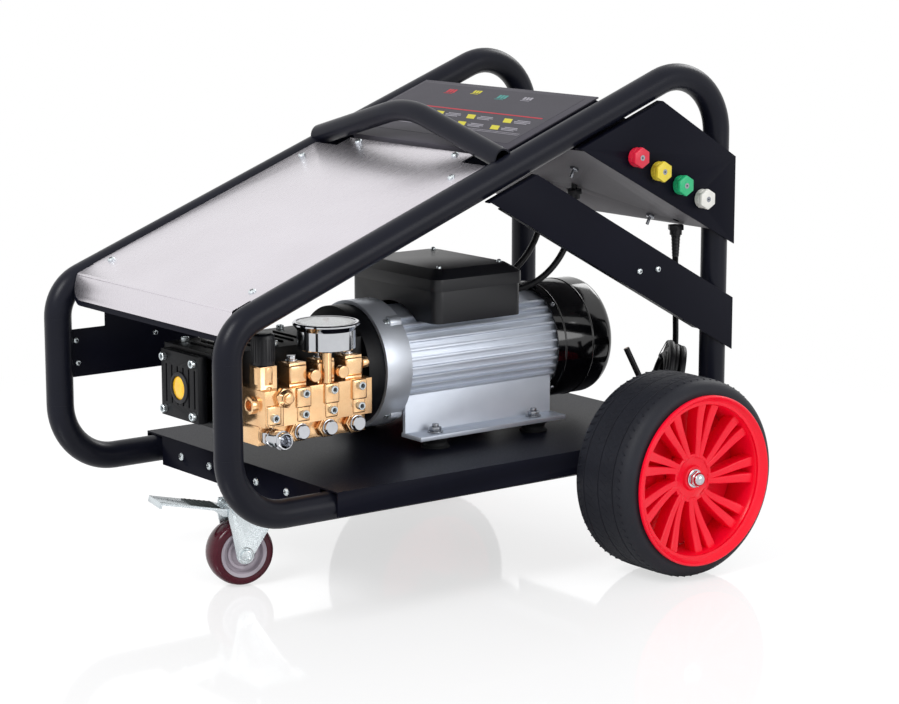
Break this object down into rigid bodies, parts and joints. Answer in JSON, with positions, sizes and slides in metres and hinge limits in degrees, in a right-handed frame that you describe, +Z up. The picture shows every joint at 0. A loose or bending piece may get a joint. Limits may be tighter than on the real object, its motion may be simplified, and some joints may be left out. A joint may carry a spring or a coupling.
{
  "type": "pressure washer",
  "caption": "Electric high-pressure washer: motor and triplex pump on a tube frame with big rear wheels and a braked front caster.",
  "frame": {"origin": "floor under the middle of the machine's outer box", "axes": "+X toward the big rear wheels, +Y toward the side away from the pump's brass head, +Z up"},
  "size_m": [0.732, 0.622, 0.5931],
  "materials": {
    "black_frame": "satin black powder coat",
    "black_sheet": "semi-gloss black powder coat",
    "stainless": "brushed stainless sheet",
    "lid_sheet": "dark lid panel",
    "zinc": "bright zinc-plated steel",
    "steel": "machined steel",
    "cast_silver": "silver-painted cast aluminium",
    "extrusion": "silver extruded aluminium",
    "black_cast": "black painted casting",
    "black_gloss": "glossy black",
    "black_plastic": "matt black plastic",
    "brass": "machined brass",
    "rubber": "black rubber",
    "cord": "black cord jacket",
    "tyre": "black tread",
    "red_rim": "red moulded rim",
    "red": "red",
    "yellow": "yellow",
    "green": "green",
    "white": "white",
    "amber_glass": "amber oil sight glass",
    "clear_glass": "clear gauge glass",
    "copper": "laminations and copper windings",
    "capacitor": "light grey capacitor cans",
    "pale_plastic": "pale contactor housing",
    "caster_red": "dark red polyurethane",
    "caster_grey": "grey caster core",
    "pedal": "dark grey pedal"
  },
  "bodies": {
    "chassis": {"side_frame_left": "black_frame", "side_frame_right": "black_frame", "handle_hoop": "black_frame", "base_tray": "black_sheet", "diagonal_strap": "black_sheet", "front_gusset": "black_sheet", "top_cover": "stainless", "cover_backing": "black_sheet", "frame_screws": "zinc", "control_box": "black_sheet", "box_lid": "lid_sheet", "contactor": "pale_plastic", "cable_glands": "black_plastic", "power_cord": "cord", "power_cord_coil": "cord", "cord_tie": "black_plastic", "motor_cables": "cord", "motor_housing": "extrusion", "rubber_mounts": "rubber", "end_bell": "cast_silver", "rear_shield": "cast_silver", "stator": "copper", "fan_cover": "black_gloss", "terminal_box": "black_plastic", "terminal_lid": "black_plastic", "capacitors": "capacitor", "bearings": "steel", "crankcase": "black_cast", "end_cover": "black_cast", "sight_glass": "amber_glass", "pump_head": "brass", "valve_plugs": "zinc", "pump_screws": "zinc", "inlet_fitting": "zinc", "unloader_body": "brass", "gauge_case": "zinc", "gauge_glass": "clear_glass", "rear_axle": "zinc", "caster_plate": "zinc"},
    "drive_shaft": {"rotor": "steel", "cooling_fan": "black_plastic", "crankshaft": "steel"},
    "plunger_a": {"plunger_1": "steel"},
    "plunger_b": {"plunger_2": "steel"},
    "plunger_c": {"plunger_3": "steel"},
    "needle": {"gauge_needle": "red"},
    "pressure_knob": {"unloader_knob": "black_plastic"},
    "rotary_switch": {"switch_knob": "red"},
    "red_nozzle": {"nozzle_red": "red"},
    "yellow_nozzle": {"nozzle_yellow": "yellow"},
    "green_nozzle": {"nozzle_green": "green"},
    "white_nozzle": {"nozzle_white": "white"},
    "left_wheel": {"left_tyre": "tyre", "left_rim": "red_rim"},
    "right_wheel": {"right_tyre": "tyre", "right_rim": "red_rim"},
    "caster_swivel": {"caster_fork": "zinc"},
    "caster_wheel": {"caster_tread": "caster_red", "caster_core": "caster_grey"},
    "pedal": {"brake_pedal": "pedal"}
  },
  "joints": [
    {"name": "drive_spin", "type": "hinge", "parent": "chassis", "child": "drive_shaft", "pos_m": [0, -0.008, 0.2449], "axis": [1, 0, 0], "continuous": true},
    {"name": "plunger_a_stroke", "type": "slide", "parent": "chassis", "child": "plunger_a", "axis": [0, 1, 0], "range_m": [-0.012, 0]},
    {"name": "plunger_b_stroke", "type": "slide", "parent": "chassis", "child": "plunger_b", "axis": [0, 1, 0], "range_m": [-0.003, 0.009]},
    {"name": "plunger_c_stroke", "type": "slide", "parent": "chassis", "child": "plunger_c", "axis": [0, 1, 0], "range_m": [-0.003, 0.009]},
    {"name": "needle_turn", "type": "hinge", "parent": "chassis", "child": "needle", "pos_m": [-0.174, -0.1123, 0.3119], "axis": [0, 0, -1], "range_deg": [0, 270]},
    {"name": "pressure_turn", "type": "hinge", "parent": "chassis", "child": "pressure_knob", "pos_m": [-0.2487, -0.0973, 0.2979], "axis": [0, 0, 1], "range_deg": [-180, 180]},
    {"name": "switch_turn", "type": "hinge", "parent": "chassis", "child": "rotary_switch", "pos_m": [0.23741, -0.09, 0.52068], "axis": [0.4641, 0, 0.8858], "range_deg": [0, 90]},
    {"name": "red_nozzle_pull", "type": "slide", "parent": "chassis", "child": "red_nozzle", "axis": [0, -1, 0], "range_m": [0, 0.03]},
    {"name": "yellow_nozzle_pull", "type": "slide", "parent": "chassis", "child": "yellow_nozzle", "axis": [0, -1, 0], "range_m": [0, 0.03]},
    {"name": "green_nozzle_pull", "type": "slide", "parent": "chassis", "child": "green_nozzle", "axis": [0, -1, 0], "range_m": [0, 0.03]},
    {"name": "white_nozzle_pull", "type": "slide", "parent": "chassis", "child": "white_nozzle", "axis": [0, -1, 0], "range_m": [0, 0.03]},
    {"name": "left_wheel_roll", "type": "hinge", "parent": "chassis", "child": "left_wheel", "pos_m": [0.224, -0.2585, 0.118], "axis": [0, 1, 0], "continuous": true},
    {"name": "right_wheel_roll", "type": "hinge", "parent": "chassis", "child": "right_wheel", "pos_m": [0.224, 0.2585, 0.118], "axis": [0, 1, 0], "continuous": true},
    {"name": "caster_turn", "type": "hinge", "parent": "chassis", "child": "caster_swivel", "pos_m": [-0.188, 0, 0.1017], "axis": [0, 0, 1], "continuous": true},
    {"name": "caster_roll", "type": "hinge", "parent": "caster_swivel", "child": "caster_wheel", "pos_m": [-0.21734, 0.00624, 0.039], "axis": [0.2079, 0.9781, 0], "continuous": true},
    {"name": "pedal_press", "type": "hinge", "parent": "caster_swivel", "child": "pedal", "pos_m": [-0.22908, 0.00873, 0.092], "axis": [-0.2079, -0.9781, 0], "range_deg": [0, 18]}
  ]
}
